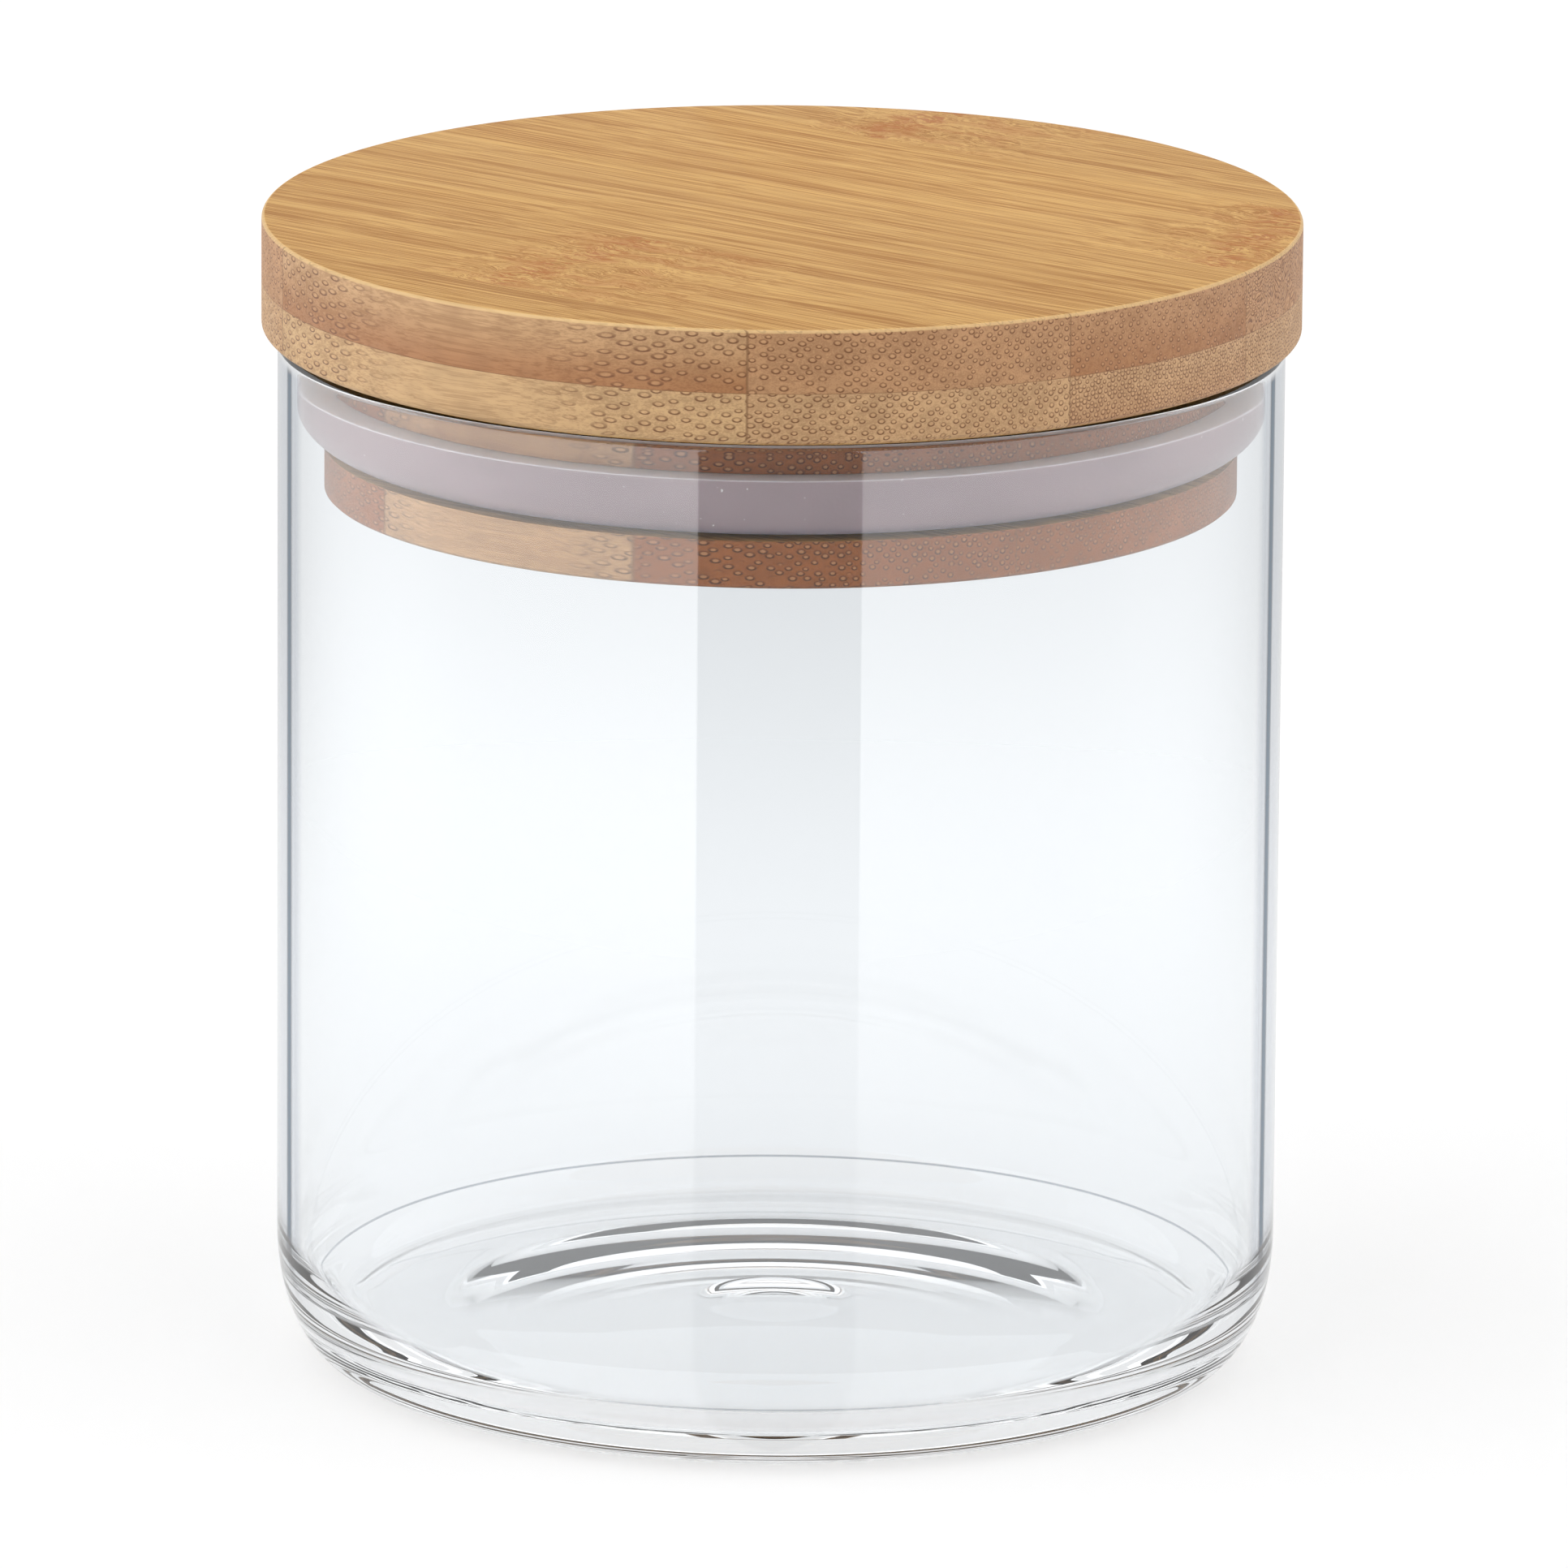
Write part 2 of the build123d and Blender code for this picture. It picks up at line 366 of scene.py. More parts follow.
# --- jar -----------------------------------------------------------------------------------
def clear_glass(jar):
    """Clear borosilicate glass, with painted shade: a grey-blue band and a dark line along its outline,
    standing in for dark surroundings seen through its edge, and a faint dark line round the inside of
    the heel, standing in for the line that refraction shows there.
    """
    tree = Tree("clear_glass")
    weight = tree.add("ShaderNodeLayerWeight")
    weight.inputs["Blend"].default_value = 0.5
    facing = weight.outputs["Facing"]
    place = tree.add("ShaderNodeTexCoord").outputs["Object"]
    height = tree.split(place)[2]
    radius = tree.vector("LENGTH", tree.vector("MULTIPLY", place, (1.0, 1.0, 0.0)))

    # painted shade: a grey-blue band and a dark line along the outline, on the outside of the straight
    # wall alone, standing in for dark surroundings seen through the glass's edge
    heel = 6 * MM, 14 * MM
    rim = 102 * MM, 103 * MM
    skin = 48.6 * MM, 49.2 * MM
    wall = tree.step(height, *rim, 1.0, 0.0)
    wall = tree.calc("MULTIPLY", tree.step(height, *heel), wall)
    wall = tree.calc("MULTIPLY", tree.step(radius, *skin), wall)
    band_start = 0.69, 0.745
    line_start = 0.760, 0.778
    line_end = 0.803, 0.818
    band = tree.calc("MULTIPLY", tree.step(facing, *band_start), wall)
    line = tree.step(facing, *line_end, 1.0, 0.0)
    line = tree.calc("MULTIPLY", tree.step(facing, *line_start), line)
    line = tree.calc("MULTIPLY", line, wall)

    # painted shade: a faint dark line round the inside of the heel, standing in for the dark line that
    # refraction shows there
    inner_side = 47.2 * MM, 47.6 * MM
    half_width = 0.05 * MM, 0.14 * MM
    inside = tree.step(radius, *inner_side, 1.0, 0.0)
    away = tree.calc("ABSOLUTE", tree.calc("SUBTRACT", height, jar.heel_line_height))
    mark = tree.calc("MULTIPLY", tree.step(away, *half_width, 1.0, 0.0), inside)

    glass = tree.add("ShaderNodeBsdfPrincipled")
    # painted shade along the outline, then the painted dark line round the inner heel
    clear = tree.mix(band, tuple(jar.tint), tuple(jar.painted_band_shade))
    clear = tree.mix(line, clear, tuple(jar.painted_line_shade))
    tree.feed(glass.inputs["Base Color"], tree.mix(mark, clear, tuple(jar.painted_heel_line)))
    glass.inputs["Roughness"].default_value = 0.0
    glass.inputs["IOR"].default_value = 1.47
    glass.inputs["Transmission Weight"].default_value = 1.0
    return tree.shade(glass)


def jar_outline(jar):
    """Outline of the blown jar from the middle of its underside to the middle of its floor."""
    low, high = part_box("glass_jar")
    outer = high.x
    inner = outer - jar.wall
    lip = jar.wall / 2
    foot = outer - jar.heel_width
    floor_top = low.z + jar.kick_up + jar.floor_thickness
    floor_edge = floor_top - jar.floor_crown
    floor_radius = inner - jar.inner_heel_width
    punt_top = jar.kick_up + jar.punt_depth
    rim = (outer - lip, high.z - lip)
    hold = 0.3 * MM             # short rows next to the curves keep the wall's shading straight
    return (
        [(0.0, punt_top), (jar.punt_radius - jar.punt_slope, punt_top)]
        + dome(jar.punt_radius, jar.kick_up, jar.foot_inner, low.z)
        + arc((foot, jar.heel_height), (jar.heel_width, jar.heel_height), 270, 360, 2 * ARC_STEPS)
        + [(outer, jar.heel_height + hold), (outer, rim[1] - hold)]
        + arc(rim, (lip, lip), 0, 180, 2 * ARC_STEPS)
        + [(inner, rim[1] - hold), (inner, floor_edge + jar.inner_heel_height + hold)]
        + arc((floor_radius, floor_edge + jar.inner_heel_height),
              (jar.inner_heel_width, jar.inner_heel_height), 360, 270, 2 * ARC_STEPS)
        + dome(floor_radius, floor_edge, 0.0, floor_top)
    )


class CANISTER_OT_blow_jar(bpy.types.Operator):
    """Blow the glass jar: foot ring, kick-up, heel, straight wall and round rim"""
    bl_idname = "canister.blow_jar"
    bl_label = "Blow the jar"

    def execute(self, context):
        jar = context.scene.canister_jar
        finished("jar_glass", spun(jar_outline(jar)), clear_glass(jar), "glass_jar", "jar")
        return {"FINISHED"}


# --- seal ----------------------------------------------------------------------------------
def milky_silicone(seal):
    """Translucent milky silicone with a satin skin and a faint dust of specks, with painted shade over
    all of it and on the skirt's foot, and painted light on the faces that look up.
    """
    tree = Tree("milky_silicone")
    place = tree.vector("SCALE", tree.add("ShaderNodeTexCoord").outputs["Object"])
    place.node.inputs["Scale"].default_value = 1.0 / MM
    cloud, _ = tree.noise(place, (0.06, 0.06, 0.12), 3.0)
    speck, _ = tree.noise(place, (2.5, 2.5, 2.5), 5.0, 0.0)
    # painted shade: the base colour is darker than milky silicone, for the shade under the disc
    base = tuple(seal.silicone)
    pale = tuple(min(1.0, c * 1.06) for c in base)
    dull = tuple(c * 0.93 for c in base)
    tint = tree.mix(tree.step(cloud, 0.3, 0.7), dull, pale)
    height = tree.split(place)[2]
    # painted shade: the skirt's foot, where it curves under above the flange, gets the darker foot
    # colour
    foot = 94.0, 95.6           # the skirt's foot is darker up to here
    tint = tree.mix(tree.step(height, *foot, 0.7, 0.0), tint, tuple(seal.foot))
    # painted light: faces that look up, the top lip, get the lighter lip colour, standing in for light
    # that comes through the glass rim and the thin silicone
    up = tree.split(tree.add("ShaderNodeTexCoord").outputs["Normal"])[2]
    tint = tree.mix(tree.step(up, 0.3, 0.8), tint, tuple(seal.lip))
    tint = tree.mix(tree.step(speck, 0.815, 0.88, 0.0, 0.5), tint, (0.9, 0.9, 0.9))
    skin = tree.add("ShaderNodeBsdfPrincipled")
    tree.feed(skin.inputs["Base Color"], tint)
    tree.feed(skin.inputs["Roughness"], tree.step(cloud, 0.2, 0.8, 0.34, 0.46))
    skin.inputs["Subsurface Weight"].default_value = 0.55
    skin.inputs["Subsurface Radius"].default_value = (1.0, 0.9, 0.9)
    skin.inputs["Subsurface Scale"].default_value = 1.5 * MM
    skin.inputs["IOR"].default_value = 1.41
    bump = tree.add("ShaderNodeBump")
    bump.inputs["Distance"].default_value = 0.01 * MM
    tree.feed(bump.inputs["Height"], speck)
    tree.feed(skin.inputs["Normal"], bump.outputs[0])
    return tree.shade(skin)


def seal_outline(seal):
    """Outline of the seal ring: flat top lip, straight side and a skirt that curves under."""
    low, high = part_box("silicone_seal")
    c = seal.corner
    bore = min(hypot(v.co.x, v.co.y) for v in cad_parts["silicone_seal"].data.vertices)
    top = high.z + seal.lift
    skirt = high.z - seal.skirt_top
    curve = arc((seal.bottom_radius, skirt), (high.x - seal.bottom_radius, skirt - low.z),
                275, 360, 2 * ARC_STEPS)
    return (
        arc((bore + c, low.z + c), (c, c), 180, 270, 4)
        + curve
        + arc((high.x - c, top - c), (c, c), 0, 90, 6)
        + arc((bore + c, top - c), (c, c), 90, 180, 4)
    )


class CANISTER_OT_mould_seal(bpy.types.Operator):
    """Mould the silicone seal that sits in the plug's groove"""
    bl_idname = "canister.mould_seal"
    bl_label = "Mould the seal"

    def execute(self, context):
        seal = context.scene.canister_seal
        finished("seal_ring", spun(seal_outline(seal), closed=True), milky_silicone(seal),
                 "silicone_seal", "seal")
        return {"FINISHED"}


# --- lid -----------------------------------------------------------------------------------
class Board:
    """One bamboo strip's look: colours of its cut ends, its fibre bundles and its growth joint."""

    def __init__(self, upper, lower, spacing, seed, bundle=0.29, knot=None, tone=1.0):
        self.upper = upper      # colour of the ends near the strip's top
        self.lower = lower      # colour of the ends near its bottom
        self.spacing = spacing  # distance between fibre bundles, mm
        self.seed = seed
        self.bundle = bundle    # radius of a bundle, mm
        self.knot = knot        # growth joint: its place along the grain at s = 0, and its slope
        self.tone = tone        # brightness of the face


TAN = (0.44, 0.240, 0.115)
HONEY = (0.52, 0.320, 0.160)
BROWN = (0.34, 0.155, 0.062)
PALE = (0.54, 0.345, 0.170)
# painted shade: the plug is the same bamboo as the disc, given these darker colours for the shade under
# the disc and inside the glass
DEEP_PLUG_SHADE = (0.19, 0.062, 0.018)
PLUG_SHADE = (0.27, 0.088, 0.022)
STRAW = (0.42, 0.245, 0.115)

BOARDS = {
    "top_layer_strip_1": Board(HONEY, BROWN, 1.30, 1.0, 0.32, tone=0.98),
    "top_layer_strip_2": Board(TAN, TAN, 1.15, 2.0, 0.29, knot=(-3.0, 0.0)),
    "top_layer_strip_3": Board(TAN, BROWN, 1.15, 3.0, 0.27),
    "top_layer_strip_4": Board(TAN, TAN, 0.95, 4.0, 0.34, knot=(50.0, -0.35), tone=1.03),
    "top_layer_strip_5": Board(HONEY, TAN, 1.10, 5.0, 0.27, knot=(-16.0, 0.0)),
    "second_layer_strip_1": Board(PALE, PALE, 1.30, 6.0, 0.30),
    "second_layer_strip_2": Board(HONEY, HONEY, 1.08, 7.0, 0.28),
    "second_layer_strip_3": Board(HONEY, TAN, 0.85, 8.0, 0.29),
    "second_layer_strip_4": Board(HONEY, HONEY, 0.88, 9.0, 0.30),
    "second_layer_strip_5": Board(TAN, HONEY, 1.0, 10.0, 0.26),
    # painted shade: the plug's boards, under the disc and inside the glass, take the darker shaded
    # colours
    "third_layer_strip_1": Board(STRAW, PLUG_SHADE, 1.1, 11.0),
    "third_layer_strip_2": Board(PLUG_SHADE, DEEP_PLUG_SHADE, 1.1, 12.0),
    "third_layer_strip_3": Board(PLUG_SHADE, DEEP_PLUG_SHADE, 1.1, 13.0),
    "third_layer_strip_4": Board(PLUG_SHADE, DEEP_PLUG_SHADE, 1.0, 14.0),
    "third_layer_strip_5": Board(PLUG_SHADE, DEEP_PLUG_SHADE, 1.1, 15.0),
    "bottom_layer_strip_1": Board(STRAW, STRAW, 1.2, 16.0),
    "bottom_layer_strip_2": Board(PLUG_SHADE, PLUG_SHADE, 1.1, 17.0),
    "bottom_layer_strip_3": Board(PLUG_SHADE, PLUG_SHADE, 1.1, 18.0),
    "bottom_layer_strip_4": Board(PLUG_SHADE, PLUG_SHADE, 0.95, 19.0),
    "bottom_layer_strip_5": Board(PLUG_SHADE, DEEP_PLUG_SHADE, 1.0, 20.0),
}


def fibre_lines(tree, place, board):
    """Long fine fibres: 0 dark to 1 light. On cut ends they show as a fine speckle."""
    hair, _ = tree.noise(place, (0.024, 6.5, 6.5), board.seed + 1, 3.0, 0.65)
    line, _ = tree.noise(place, (0.016, 1.9, 1.9), board.seed + 2, 2.0, 0.55)
    band, _ = tree.noise(place, (0.008, 0.30, 0.30), board.seed + 3, 1.0)
    dash, _ = tree.noise(place, (0.11, 3.4, 3.4), board.seed + 4, 1.0)
    total = tree.calc("MULTIPLY", hair, 0.48)
    total = tree.calc("MULTIPLY_ADD", line, 0.24, total)
    total = tree.calc("MULTIPLY_ADD", band, 0.16, total)
    total = tree.calc("MULTIPLY_ADD", dash, 0.12, total)
    return tree.step(total, 0.41, 0.59)


def fibre_bundles(tree, s, z, height, board):
    """Fibre bundles on cut ends: strength of the dark edge, with painted shadow on its lower side, and
    of the light middle.

    The bundles stand in a diamond pattern, so their cells are turned by 45 degrees.
    """
    rise = tree.calc("MULTIPLY", tree.calc("ADD", s, z), sqrt(0.5))
    fall = tree.calc("MULTIPLY", tree.calc("SUBTRACT", s, z), sqrt(0.5))
    flat = tree.join(rise, fall, 0.0)
    cells = tree.add("ShaderNodeTexVoronoi", voronoi_dimensions="2D", feature="F1")
    tree.feed(cells.inputs["Vector"], flat)
    cells.inputs["Scale"].default_value = sqrt(2.0) / board.spacing
    cells.inputs["Randomness"].default_value = 0.42
    offset = tree.vector("SUBTRACT", flat, cells.outputs["Position"])
    distance = tree.vector("LENGTH", offset)
    along = tree.split(offset)
    up = tree.calc("MULTIPLY", tree.calc("SUBTRACT", along[0], along[1]), sqrt(0.5))
    chance = tree.split(cells.outputs["Color"])
    radius = tree.calc("MULTIPLY_ADD", chance[0], 0.08, board.bundle * 0.8 - 0.04)
    near = tree.calc("DIVIDE", distance, radius)
    rim = tree.calc("MULTIPLY", tree.step(near, 0.50, 0.80), tree.step(near, 1.0, 1.27, 1.0, 0.0))
    middle = tree.step(near, 0.40, 0.75, 1.0, 0.0)
    # painted shadow: the dark edge is heavier on each bundle's lower side, as if the bundle stood in
    # relief over the wood below
    lower = tree.step(tree.calc("DIVIDE", up, tree.calc("ADD", distance, 0.01)), 0.5, -0.7)
    rim = tree.calc("MULTIPLY", rim, tree.calc("MULTIPLY_ADD", lower, 0.45, 0.55))
    there = tree.step(tree.calc("SUBTRACT", chance[1], height), 0.68, 0.62)
    return tree.calc("MULTIPLY", rim, there), tree.calc("MULTIPLY", middle, there)


def knot_masks(tree, g, s, board):
    """Strength of a growth joint: a wide stir of the grain and a narrow band of short fibres."""
    start, slope = board.knot
    run = tree.calc("SUBTRACT", tree.calc("MULTIPLY_ADD", s, -slope, g), start)
    stir = tree.calc("MULTIPLY", tree.step(run, -12.0, -2.0), tree.step(run, 5.0, 24.0, 1.0, 0.0))
    band = tree.calc("MULTIPLY", tree.step(run, -4.5, -0.5), tree.step(run, 0.5, 4.5, 1.0, 0.0))
    return stir, band


def bamboo(name, board, limits, heights, lid):
    """Laminated bamboo of one strip, from its grain, its fibre bundles and its glue lines, with a
    painted highlight on the top corner, painted shadow under the bundles and painted shade on the plug's
    boards.
    """
    tree = Tree(name)
    coords = tree.add("ShaderNodeTexCoord")
    along = tree.add("ShaderNodeMapping")
    tree.feed(along.inputs["Vector"], coords.outputs["Object"])
    along.inputs["Rotation"].default_value = (0.0, 0.0, -lid.grain_angle)
    along.inputs["Scale"].default_value = (1 / MM, 1 / MM, 1 / MM)
    place = along.outputs[0]
    g, s, z = tree.split(place)

    # the fibres wander a little along their length, and stir round a growth joint
    _, drift = tree.noise(place, (0.03, 0.05, 0.05), board.seed + 5, 1.0)
    drift = tree.vector("MULTIPLY", tree.vector("SUBTRACT", drift, (0.5, 0.5, 0.5)), (0.0, 1.6, 1.6))
    fibre = tree.vector("ADD", place, drift)
    if board.knot:
        stir, band = knot_masks(tree, g, s, board)
        _, swirl = tree.noise(place, (0.16, 0.22, 0.22), board.seed + 6, 2.0)
        swirl = tree.vector("MULTIPLY", tree.vector("SUBTRACT", swirl, (0.5, 0.5, 0.5)),
                            (10.0, 5.0, 5.0))
        swirl = tree.vector("MULTIPLY", swirl, tree.join(stir, stir, stir))
        fibre = tree.vector("ADD", fibre, swirl)
    _, fibre_s, fibre_z = tree.split(fibre)
    lines = fibre_lines(tree, fibre, board)
    height = tree.step(z, heights[0], heights[1])

    # cut ends
    ends = tree.mix(height, board.lower, board.upper)
    mottle, _ = tree.noise(place, (0.3, 0.3, 0.45), board.seed + 7, 2.0)
    shade = tuple(c * 0.62 for c in board.lower)
    ends = tree.mix(tree.step(mottle, 0.35, 0.75, 0.0, 0.35), ends, shade)
    ends = tree.mix(tree.step(lines, 0.0, 1.0, 0.30, 0.0), ends, tuple(lid.ring_dark))
    rim, middle = fibre_bundles(tree, fibre_s, fibre_z, height, board)
    # where the side runs along the grain, the bundles are cut lengthwise into streaks
    normal = coords.outputs["Normal"]
    grain = (cos(lid.grain_angle), sin(lid.grain_angle), 0.0)
    facing_grain = tree.calc("ABSOLUTE", tree.vector("DOT_PRODUCT", normal, grain))
    across = tree.step(facing_grain, 0.10, 0.38)
    rim = tree.calc("MULTIPLY", rim, across)
    middle = tree.calc("MULTIPLY", middle, across)
    # painted shade: on the plug's boards the bundle edges are darker and their middles dimmer, for the
    # shade under the disc and inside the glass
    plug = heights[1] * MM < underside("second_layer", widest("bottom_layer"))
    edge_colour = tuple(lid.shaded_plug_ring if plug else lid.ring_dark)
    middle = tree.calc("MULTIPLY", middle, 0.30 if plug else 0.34)
    ends = tree.mix(middle, ends, tuple(lid.ring_light))
    ends = tree.mix(tree.calc("MULTIPLY", rim, 0.9), ends, edge_colour)

    # the faces, where the fibres lie flat
    dark = tuple(c * board.tone for c in lid.face_dark)
    light = tuple(c * board.tone for c in lid.face_light)
    face = tree.mix(lines, dark, light)
    if board.knot:
        short, _ = tree.noise(fibre, (0.38, 1.4, 1.4), board.seed + 8, 2.0, 0.6)
        blotch, _ = tree.noise(fibre, (0.12, 0.35, 0.35), board.seed + 9, 2.0)
        face = tree.mix(tree.calc("MULTIPLY", stir, tree.step(blotch, 0.45, 0.62, 0.0, 0.45)),
                        face, tuple(lid.knot_colour))
        face = tree.mix(tree.calc("MULTIPLY", band, tree.step(short, 0.50, 0.56, 0.0, 0.95)),
                        face, tuple(lid.knot_colour))

    up = tree.split(normal)[2]
    flat = tree.step(tree.calc("ABSOLUTE", up), 0.75, 0.97)
    wood = tree.mix(flat, ends, face)
    # painted highlight: faces of the sanded top corner that turn upwards get a light line
    corner = tree.calc("MULTIPLY", tree.step(up, 0.10, 0.35), tree.step(up, 0.93, 0.99, 0.5, 0.0))
    wood = tree.mix(corner, wood, tuple(lid.corner_highlight))

    # glue lines, faint on the sanded faces
    first, last = tree.calc("SUBTRACT", s, limits[0]), tree.calc("SUBTRACT", limits[1], s)
    edge = tree.calc("MINIMUM", first, last)
    edge = tree.calc("MINIMUM", edge, tree.calc("SUBTRACT", z, heights[0]))
    glue = tree.step(edge, 0.03, 0.11, 1.0, 0.0)
    glue = tree.calc("MULTIPLY", glue, tree.calc("MULTIPLY_ADD", flat, -0.55, 0.65))
    wood = tree.mix(glue, wood, tuple(lid.glue_colour))

    oiled = tree.add("ShaderNodeBsdfPrincipled")
    tree.feed(oiled.inputs["Base Color"], wood)
    tree.feed(oiled.inputs["Roughness"], tree.step(lines, 0.0, 1.0, 0.56, 0.44))
    oiled.inputs["IOR"].default_value = 1.45
    oiled.inputs["Specular IOR Level"].default_value = 0.32
    bump = tree.add("ShaderNodeBump")
    bump.inputs["Distance"].default_value = 0.02 * MM
    bump.inputs["Strength"].default_value = 0.6
    tree.feed(bump.inputs["Height"], lines)
    tree.feed(oiled.inputs["Normal"], bump.outputs[0])
    return tree.shade(oiled)


def layer_outlines(lid, low, high):
    """Outline of each layer's turned blank, from the axis round to the axis."""
    disc, plug = widest("top_layer"), widest("bottom_layer")
    disc_low = underside("second_layer", plug)
    groove_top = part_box("third_layer_strip_1")[0].z
    flange_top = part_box("bottom_layer_strip_1")[1].z
    b, c = lid.top_break, lid.plug_break
    i, u = lid.lower_round_in, lid.lower_round_up
    return {
        "top_layer": [(0.0, low["top_layer"]), (disc, low["top_layer"])]
        + arc((disc - b, high["top_layer"] - b), (b, b), 0, 90, 6)
        + [(0.0, high["top_layer"])],
        "second_layer": [(0.0, low["second_layer"]), (plug, low["second_layer"]), (plug, disc_low)]
        + arc((disc - i, disc_low + u), (i, u), 270, 360)
        + [(disc, high["second_layer"]), (0.0, high["second_layer"])],
        "third_layer": [
            (0.0, low["third_layer"]), (lid.groove, low["third_layer"]), (lid.groove, groove_top),
            (plug, groove_top), (plug, high["third_layer"]), (0.0, high["third_layer"])],
        "bottom_layer": [
            (0.0, low["bottom_layer"]), (plug - c, low["bottom_layer"]),
            (plug, low["bottom_layer"] + c), (plug, flange_top), (lid.groove, flange_top),
            (lid.groove, high["bottom_layer"]), (0.0, high["bottom_layer"])],
    }


class CANISTER_OT_turn_lid(bpy.types.Operator):
    """Turn the lid from one laminated block and keep each bamboo strip as its own piece"""
    bl_idname = "canister.turn_lid"
    bl_label = "Turn the lid"

    def execute(self, context):
        lid = context.scene.canister_lid
        low, high = {}, {}
        for layer in LAYERS:
            bottom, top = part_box(f"{layer}_strip_3")
            low[layer], high[layer] = bottom.z, top.z
        for layer, outline in layer_outlines(lid, low, high).items():
            heights = (low[layer] / MM, high[layer] / MM)
            for number in range(1, STRIPS + 1):
                node = f"{layer}_strip_{number}"
                limits = across_range(node, lid.grain_angle)
                bm = spun(outline)
                cut_to_strip(bm, number, limits, lid.grain_angle)
                joints = [-NO_JOINT if number == 1 else limits[0] / MM,
                          NO_JOINT if number == STRIPS else limits[1] / MM]
                material = bamboo(f"bamboo_{node}", BOARDS[node], joints, heights, lid)
                finished(f"bamboo_{node}", bm, material, node, "lid")
        return {"FINISHED"}


# --- stage ---------------------------------------------------------------------------------
def pale_floor(stage):
    """Pale light-table floor, which fades out of reflections away from the jar.

    It can't be seen from below, so that the jar's underside can.
    """
    tree = Tree("pale_floor")
    paper = tree.add("ShaderNodeBsdfPrincipled")
    paper.inputs["Base Color"].default_value = (*stage.floor_colour, 1.0)
    paper.inputs["Roughness"].default_value = 0.9
    paper.inputs["Specular IOR Level"].default_value = 0.0
    paper.inputs["Emission Color"].default_value = (1.0, 1.0, 1.0, 1.0)
    paper.inputs["Emission Strength"].default_value = stage.floor_glow
    away = tree.vector("LENGTH", tree.add("ShaderNodeTexCoord").outputs["Object"])
    reflected = 0.15, 0.38      # distances over which the floor leaves the reflections
    fade = tree.step(away, *reflected, 0.3, 1.0)
    fade = tree.calc("MULTIPLY", fade, tree.add("ShaderNodeLightPath").outputs["Is Glossy Ray"])
    fade = tree.calc("MAXIMUM", fade, tree.add("ShaderNodeNewGeometry").outputs["Backfacing"])
    mixed = tree.add("ShaderNodeMixShader")
    tree.feed(mixed.inputs[0], fade)
    tree.feed(mixed.inputs[1], paper.outputs[0])
    tree.feed(mixed.inputs[2], tree.add("ShaderNodeBsdfTransparent").outputs[0])
    return tree.shade(mixed)


def lay_floor(stage):
    """Large pale floor just under the jar's foot."""
    mesh = bpy.data.meshes.new("floor")
    bm = bmesh.new()
    bmesh.ops.create_grid(bm, x_segments=1, y_segments=1, size=FLOOR_HALF,
                          matrix=Matrix.Translation((0.0, 0.0, -FLOOR_DROP)))
    bm.to_mesh(mesh)
    bm.free()
    mesh.materials.append(pale_floor(stage))
    floor = bpy.data.objects.new("floor", mesh)
    bpy.context.scene.collection.objects.link(floor)


def hang_top_light(stage):
    """Wide soft light from above."""
    light = bpy.data.lights.new("top_light", "SUN")
    light.energy = stage.top_light
    light.angle = stage.top_spread
    lamp = bpy.data.objects.new("top_light", light)
    bpy.context.scene.collection.objects.link(lamp)
    lamp.rotation_euler = (stage.top_tilt, 0.0, 0.0)
    lamp.visible_glossy = False


def paint_room(stage):
    """Pale room with a tall softbox on each side of a dark gap in front of the jar.

    It is plain white for the eye and straight through the glass.
    """
    world = bpy.data.worlds.new("studio")
    world.use_nodes = True
    room = Tree(tree=world.node_tree)
    towards = room.split(room.add("ShaderNodeTexCoord").outputs["Generated"])
    side = room.calc("ARCTAN2", towards[0], room.calc("MULTIPLY", towards[1], -1.0))
    turn = room.calc("ABSOLUTE", side)
    box = room.step(side, -0.1, 0.1, stage.left_box, stage.right_box)
    lit = room.step(turn, stage.gap_edge, stage.gap_edge + stage.gap_blur)
    fade = room.step(turn, stage.box_end, stage.wall_start, 1.0, 0.0)
    gap, wall = stage.front_gap, stage.back_wall
    front = room.calc("MULTIPLY_ADD", lit, room.calc("SUBTRACT", box, gap), gap)
    glow = room.calc("MULTIPLY_ADD", fade, room.calc("SUBTRACT", front, wall), wall)
    path = room.add("ShaderNodeLightPath").outputs
    rough = room.calc("SUBTRACT", 1.0, path["Is Glossy Ray"])
    glow = room.calc("MULTIPLY", glow, room.calc("MULTIPLY_ADD", rough, stage.fill - 1.0, 1.0))
    untouched = room.calc("LESS_THAN", path["Diffuse Depth"], 0.5)
    through = room.calc("MULTIPLY", path["Is Transmission Ray"], untouched)
    seen = room.calc("MAXIMUM", path["Is Camera Ray"], through)
    background = room.add("ShaderNodeBackground")
    level = room.calc("MULTIPLY_ADD", seen, room.calc("SUBTRACT", 1.0, glow), glow)
    room.feed(background.inputs["Strength"], level)
    output = room.add("ShaderNodeOutputWorld")
    room.feed(output.inputs["Surface"], background.outputs[0])
    bpy.context.scene.world = world


def place_camera(stage):
    """Long lens in front of the jar, looking down at it."""
    data = bpy.data.cameras.new("camera")
    data.lens = stage.lens
    data.sensor_width = SENSOR_WIDTH
    data.shift_x = stage.shift
    data.dof.use_dof = False
    camera = bpy.data.objects.new("camera", data)
    bpy.context.scene.collection.objects.link(camera)
    e = stage.elevation
    back, up = stage.distance * cos(e), stage.distance * sin(e)
    place = Matrix.Translation((0.0, -back, stage.aim_height + up))
    tilt = Matrix.Rotation(pi / 2 - e, 4, "X")
    camera.matrix_world = place @ tilt @ Matrix.Rotation(stage.roll, 4, "Z")
    bpy.context.scene.camera = camera


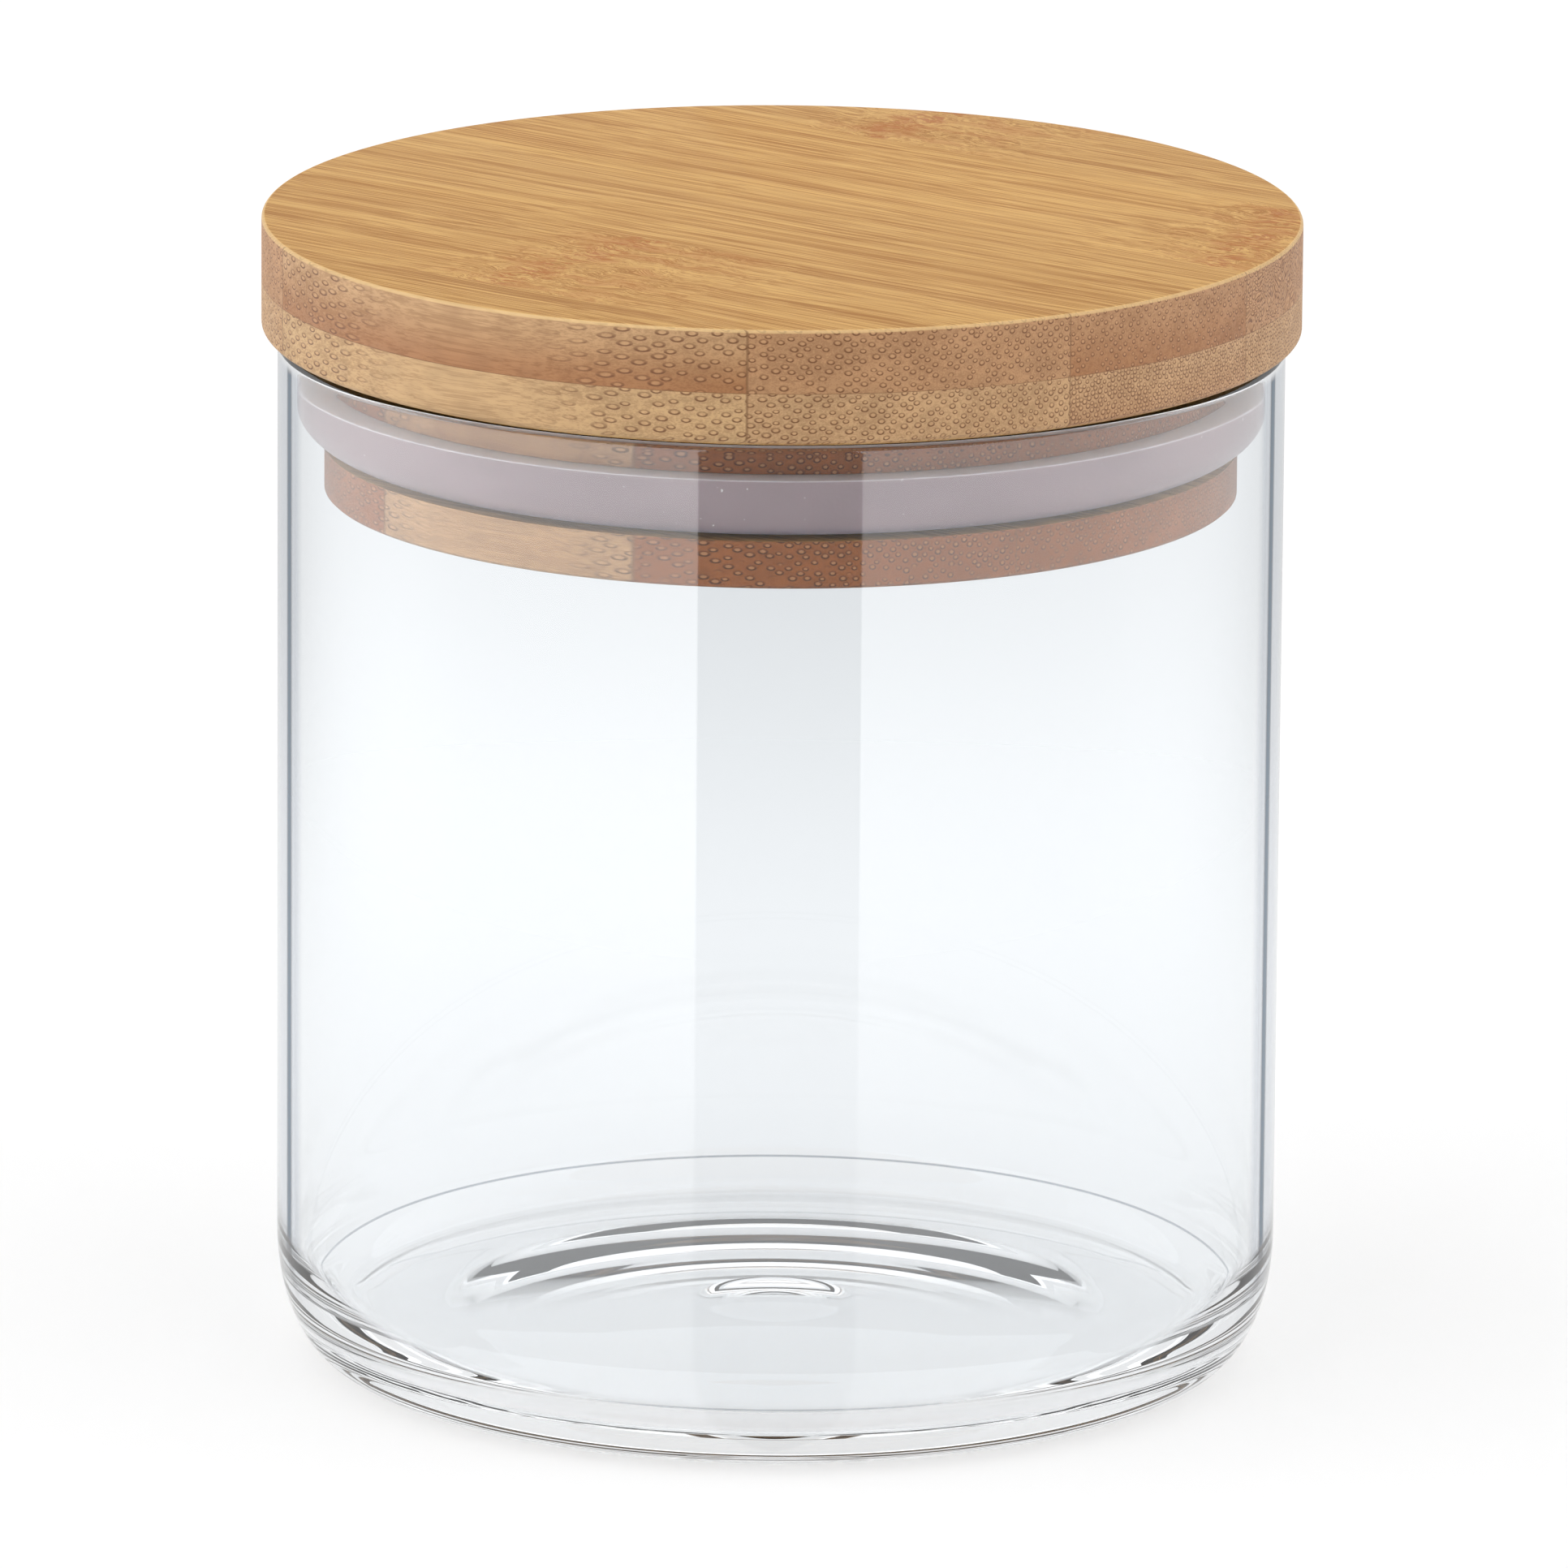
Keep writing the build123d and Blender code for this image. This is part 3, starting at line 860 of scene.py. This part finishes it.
class CANISTER_OT_set_stage(bpy.types.Operator):
    """Lay the floor, hang the lights and place the camera"""
    bl_idname = "canister.set_stage"
    bl_label = "Set the stage"

    def execute(self, context):
        stage = context.scene.canister_stage
        lay_floor(stage)
        hang_top_light(stage)
        paint_room(stage)
        place_camera(stage)
        context.scene.view_settings.view_transform = "Standard"
        context.scene.cycles.max_bounces = 24
        context.scene.cycles.glossy_bounces = 16
        context.scene.cycles.transmission_bounces = 20
        return {"FINISHED"}


# --- panel and start -----------------------------------------------------------------------
class CANISTER_PT_panel(bpy.types.Panel):
    """Buttons and settings of the canister"""
    bl_idname = "CANISTER_PT_panel"
    bl_label = "Glass canister"
    bl_space_type = "VIEW_3D"
    bl_region_type = "UI"
    bl_category = "Canister"

    def draw(self, context):
        """One box for each operator, with the button above its settings."""
        scene = context.scene
        rows = (
            ("canister.blow_jar", scene.canister_jar),
            ("canister.mould_seal", scene.canister_seal),
            ("canister.turn_lid", scene.canister_lid),
            ("canister.set_stage", scene.canister_stage),
        )
        for button, settings in rows:
            box = self.layout.box()
            box.operator(button)
            for name in settings.bl_rna.properties.keys():
                if name not in ("rna_type", "name"):
                    box.prop(settings, name)


CLASSES = (
    JarSettings,
    LidSettings,
    SealSettings,
    StageSettings,
    CANISTER_OT_blow_jar,
    CANISTER_OT_mould_seal,
    CANISTER_OT_turn_lid,
    CANISTER_OT_set_stage,
    CANISTER_PT_panel,
)


def register():
    """Register the classes and hang the settings on the scene."""
    for cls in CLASSES:
        bpy.utils.register_class(cls)
    bpy.types.Scene.canister_jar = PointerProperty(type=JarSettings)
    bpy.types.Scene.canister_lid = PointerProperty(type=LidSettings)
    bpy.types.Scene.canister_seal = PointerProperty(type=SealSettings)
    bpy.types.Scene.canister_stage = PointerProperty(type=StageSettings)


def unregister():
    """Take the settings off the scene and unregister the classes."""
    for name in ("canister_jar", "canister_lid", "canister_seal", "canister_stage"):
        delattr(bpy.types.Scene, name)
    for cls in reversed(CLASSES):
        bpy.utils.unregister_class(cls)


def main():
    """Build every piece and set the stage."""
    register()
    bpy.ops.canister.set_stage()
    bpy.ops.canister.blow_jar()
    bpy.ops.canister.mould_seal()
    bpy.ops.canister.turn_lid()


if __name__ == "__main__":
    main()
